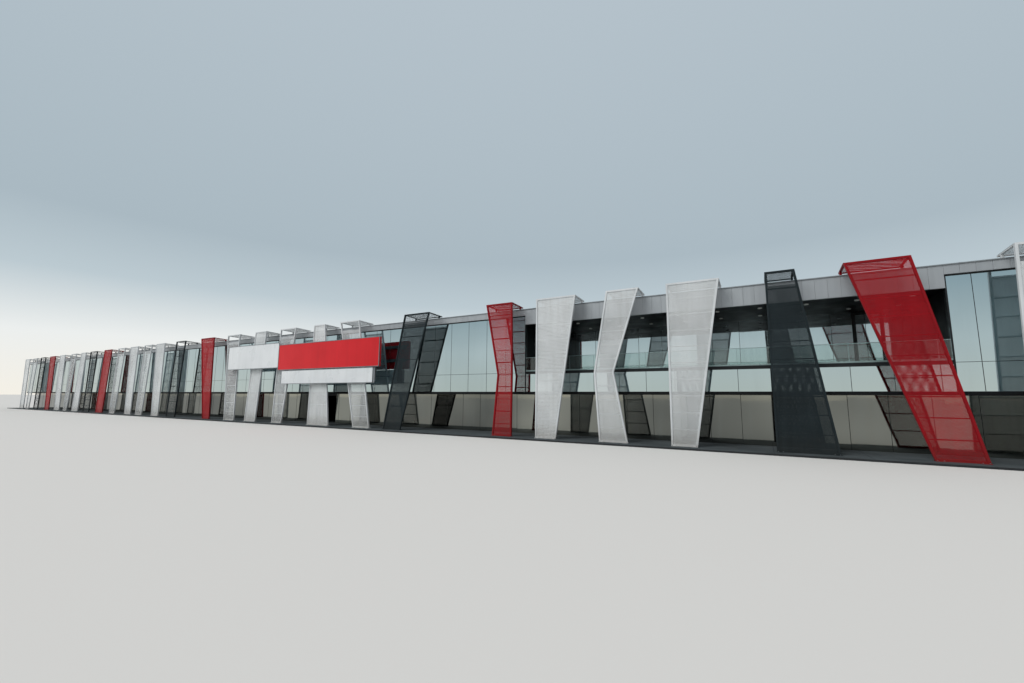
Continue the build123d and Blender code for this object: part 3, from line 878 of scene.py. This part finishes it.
# every fin's sheets as read from the frame: an upright one and the cover that falls back
def readFins():
    fins, covers = [], []
    for colour in finPaints:
        for corners in solidsOf(colour + "_mesh"):
            low, high = reach(corners)
            if high.z - low.z < punchedSheet["coverUnder"]:
                covers.append((low, high, corners))
                continue
            front = [c for c in corners if c.y < low.y + nearness["face"]]
            heights = sorted({round(c.z, 5) for c in front})
            levels = []
            for z in heights:
                row = [c.x for c in front if abs(c.z - z) < nearness["row"]]
                levels.append((z, min(row), max(row)))
            fins.append({"colour": colour, "levels": levels, "y": low.y})
    for fin in fins:
        _, left, right = fin["levels"][-1]
        middle = (left + right) / 2
        low, high, corners = min(covers, key=lambda c: abs((c[0].x + c[1].x) / 2 - middle))
        fin["cover"] = (low, high, max(c.z for c in corners if c.y > high.y - nearness["face"]))
        fin["x"] = (low.x + high.x) / 2
    return sorted(fins, key=lambda fin: fin["x"])


def buildFinSheets():
    look = punchedSheet
    fins = readFins()
    sideways, upright = Vector((1, 0, 0)), Vector((0, 0, 1))
    fullTop = max(fin["levels"][-1][0] for fin in fins)
    for number, fin in enumerate(fins, start=1):
        light = fin["levels"][-1][0] < fullTop - look["lightBand"]
        shares = look["ownOpen"].get(number, look["openLight" if light else "open"][fin["colour"]])
        size = 1.0 if number >= look["nearFrom"] else look["farSize"]
        piece = newPiece()
        base = fin["levels"][0][0]
        levels = [(z - base, left - fin["x"], right - fin["x"]) for z, left, right in fin["levels"]]
        sheet = {"across": look["across"] * size, "up": look["up"] * size, "shares": shares,
                 "height": levels[-1][0], "crown": look["crown"].get(fin["colour"], (0.0, 0.0))}
        addPunched(piece, levels, Vector((fin["x"], fin["y"], base)), sideways, upright, sheet)
        low, high, rearTop = fin["cover"]
        slope = Vector((0, high.y - low.y, rearTop - high.z))
        half = (high.x - low.x) / 2
        share = look["openCover"][fin["colour"]]
        cover = dict(sheet, shares=(share, share), height=slope.length, crown=(0.0, 0.0))
        addPunched(piece, [(0.0, -half, half), (slope.length, -half, half)],
                   Vector((fin["x"], low.y, high.z)), sideways, slope.normalized(), cover)
        finishPiece(piece, f"punched_sheet_{number:02d}", finPaints[fin["colour"]],
                    [fin["colour"] + "_mesh"], closed=False)
    print("fin sheets:", len(fins))


# anchor bolts on the foot plates of the fins
footBolts = {"inset": 0.0045, "radius": 0.0016, "height": 0.0016, "sides": 6, "tip": 0.7, "tipRise": 0.0002,
             "washer": 0.0024, "washerThick": 0.0004, "washerSides": 12, "plateTop": (0.0005, 0.0025)}


# each foot plate's ends in x and in y and the level of its top, found by its height over the floor
def footPlates():
    least, most = footBolts["plateTop"]
    for name in nodes:
        if "fin" not in name:
            continue
        for corners in solidsOf(name):
            tops = [c for c in corners if floorTop + least < c.z < floorTop + most]
            if not tops:
                continue
            low, high = reach(tops)
            edges = sorted({round(c.x, 4) for c in tops if c.y < low.y + nearness["row"]})
            for left, right in zip(edges[::2], edges[1::2]):
                yield (left, right), (low.y, high.y), high.z


def buildFootBolts():
    look = footBolts
    washer = [(look["washer"], 0.0), (look["washer"], look["washerThick"])]
    head = [(look["radius"], look["washerThick"]), (look["radius"], look["height"]),
            (look["radius"] * look["tip"], look["height"] + look["tipRise"])]
    piece = newPiece()
    for (left, right), (near, far), top in footPlates():
        for x in (left + look["inset"], right - look["inset"]):
            for y in (near + look["inset"], far - look["inset"]):
                addTurned(piece, (x, y, top), washer, look["washerSides"])
                addTurned(piece, (x, y, top), head, look["sides"])
    finishPiece(piece, "foot_bolts", "boltZinc")


# sign boxes: metal rims round bare faces

signRims = {"width": 0.0034, "stand": 0.0012, "proud": 0.0003, "back": 0.004, "bed": 0.0002,
            "corner": 0.006, "steps": 6}


# a box's outline with rounded corners, drawn in by the inset
def roundedRing(low, high, inset):
    corner, steps = signRims["corner"], signRims["steps"]
    ring = []
    for cx, cz, first in ((high.x - corner, high.z - corner, 0), (low.x + corner, high.z - corner, 90),
                          (low.x + corner, low.z + corner, 180), (high.x - corner, low.z + corner, 270)):
        for i in range(steps + 1):
            turn = math.radians(first + 90 * i / steps)
            ring.append((cx + (corner - inset) * math.cos(turn), cz + (corner - inset) * math.sin(turn)))
    return ring


def buildSignRims():
    look = signRims
    piece = newPiece()
    for corners in solidsOf("sign_boxes_white") + solidsOf("sign_box_red"):
        low, high = reach(corners)
        outer = roundedRing(low, high, -look["proud"])
        inner = roundedRing(low, high, look["width"])
        start, count = len(piece["points"]), len(outer)
        front = low.y - look["stand"]
        rings = ((outer, low.y + look["back"]), (outer, front), (inner, front), (inner, low.y + look["bed"]))
        for ring, y in rings:
            piece["points"] += [(x, y, z) for x, z in ring]
        for band in range(len(rings)):
            for i in range(count):
                j = (i + 1) % count
                a, b = start + band * count, start + (band + 1) % len(rings) * count
                piece["faces"].append((a + i, a + j, b + j, b + i))
    finishPiece(piece, "sign_rims", "signEdgeMetal")


buildFascia()
buildHeadTrim()
buildCopingStraps()
buildWallPanels()
buildRoofLaps()
print("envelope: cassettes, straps, wall panels and roof laps")
buildGlazing()
buildGuard()
buildTerraceDoor()
buildSoffit()
print("glazing caps, terrace guard, terrace door and soffit")
buildFinSheets()
buildFootBolts()
buildSignRims()
print("fins and sign boxes")


# stage: floor, pale background, lamps and camera

stageLook = {"floorSize": 220.0, "floorColour": "d9dad8", "floorRough": 0.95, "floorShine": 0.1,
             "sky": [(0.0, "f4f0e6"), (0.1, "ecefee"), (0.2, "bccad1"), (0.3, "aab9c2"), (0.7, "b4c1ca")],
             "ambient": 0.55, "ambientColour": "fbfbfd"}
lampLook = {"strength": 1.9, "softness": 35.0, "turn": -28.0, "height": 40.0, "colour": (1.0, 0.985, 0.96)}


def buildFloor():
    size = stageLook["floorSize"]
    mesh = bpy.data.meshes.new("studioFloor")
    corners = [(-size, -size, 0), (size, -size, 0), (size, size, 0), (-size, size, 0)]
    mesh.from_pydata(corners, [], [(0, 1, 2, 3)])
    floor = bpy.data.objects.new("studio_floor", mesh)
    bpy.context.scene.collection.objects.link(floor)
    finish = bpy.data.materials.new("studioFloor")
    finish.use_nodes = True
    shader = finish.node_tree.nodes["Principled BSDF"]
    shader.inputs["Base Color"].default_value = tone(stageLook["floorColour"])
    shader.inputs["Roughness"].default_value = stageLook["floorRough"]
    shader.inputs["Specular IOR Level"].default_value = stageLook["floorShine"]
    mesh.materials.append(finish)
    floor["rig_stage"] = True


# pale sky for the camera, for mirrors and through openings; plain soft light for the rest
def buildSky():
    world = bpy.data.worlds.new("paleSky")
    bpy.context.scene.world = world
    world.use_nodes = True
    tree = world.node_tree
    tree.nodes.clear()
    coord = addNode(tree, "ShaderNodeTexCoord")
    parts = addNode(tree, "ShaderNodeSeparateXYZ")
    tree.links.new(coord.outputs["Generated"], parts.inputs["Vector"])
    sky = ramp(tree, parts.outputs["Z"], stageLook["sky"])
    pale = addNode(tree, "ShaderNodeBackground")
    tree.links.new(sky, pale.inputs["Color"])
    soft = addNode(tree, "ShaderNodeBackground")
    soft.inputs["Color"].default_value = tone(stageLook["ambientColour"])
    soft.inputs["Strength"].default_value = stageLook["ambient"]
    rays = addNode(tree, "ShaderNodeLightPath")
    seen = mathNode(tree, "MAXIMUM", rays.outputs["Is Camera Ray"], rays.outputs["Is Glossy Ray"])
    seen = mathNode(tree, "MAXIMUM", seen, rays.outputs["Is Transmission Ray"])
    mix = addNode(tree, "ShaderNodeMixShader")
    out = addNode(tree, "ShaderNodeOutputWorld")
    tree.links.new(seen, mix.inputs["Fac"])
    tree.links.new(soft.outputs["Background"], mix.inputs[1])
    tree.links.new(pale.outputs["Background"], mix.inputs[2])
    tree.links.new(mix.outputs["Shader"], out.inputs["Surface"])


def buildLamp():
    look = lampLook
    data = bpy.data.lights.new("softKey", "SUN")
    data.energy = look["strength"]
    data.angle = math.radians(look["softness"])
    data.color = look["colour"]
    lamp = bpy.data.objects.new("softKey", data)
    lamp.rotation_euler = (math.radians(90 - look["height"]), 0, math.radians(look["turn"]))
    bpy.context.scene.collection.objects.link(lamp)


# the eye's place in metres of the model, and the lens as measured from the picture
cameraLook = {"place": (4.175, -3.8525, 0.215), "pitch": 7.29, "yaw": 29.86, "roll": 0.36,
              "focal": 434.7, "imageWidth": 1024, "sensor": 36.0, "clip": (0.02, 900)}


def buildCamera():
    look = cameraLook
    pitch, yaw, roll = (math.radians(look[name]) for name in ("pitch", "yaw", "roll"))
    ahead = Vector((-math.sin(yaw) * math.cos(pitch), math.cos(yaw) * math.cos(pitch), math.sin(pitch)))
    level = Vector((math.cos(yaw), math.sin(yaw), 0))
    above = level.cross(ahead)
    right = level * math.cos(roll) + above * math.sin(roll)
    upward = above * math.cos(roll) - level * math.sin(roll)
    data = bpy.data.cameras.new("photoView")
    data.sensor_width = look["sensor"]
    data.lens = look["focal"] * look["sensor"] / look["imageWidth"]
    data.clip_start, data.clip_end = look["clip"]
    camera = bpy.data.objects.new("photoView", data)
    matrix = camera.matrix_world.copy()
    for row in range(3):
        matrix[row][0], matrix[row][1], matrix[row][2] = right[row], upward[row], -ahead[row]
        matrix[row][3] = look["place"][row]
    camera.matrix_world = matrix
    bpy.context.scene.collection.objects.link(camera)
    bpy.context.scene.camera = camera


buildFloor()
buildSky()
buildLamp()
buildCamera()
bpy.context.scene.view_settings.view_transform = "Standard"
print("stage: floor, sky, lamp and camera")

bpy.context.view_layer.update()
added = [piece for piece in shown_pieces() if "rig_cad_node" not in piece]
triangles = [sum(len(face.vertices) - 2 for face in piece.data.polygons) for piece in added]
print("new triangles:", sum(triangles), "most in one piece:", max(triangles))
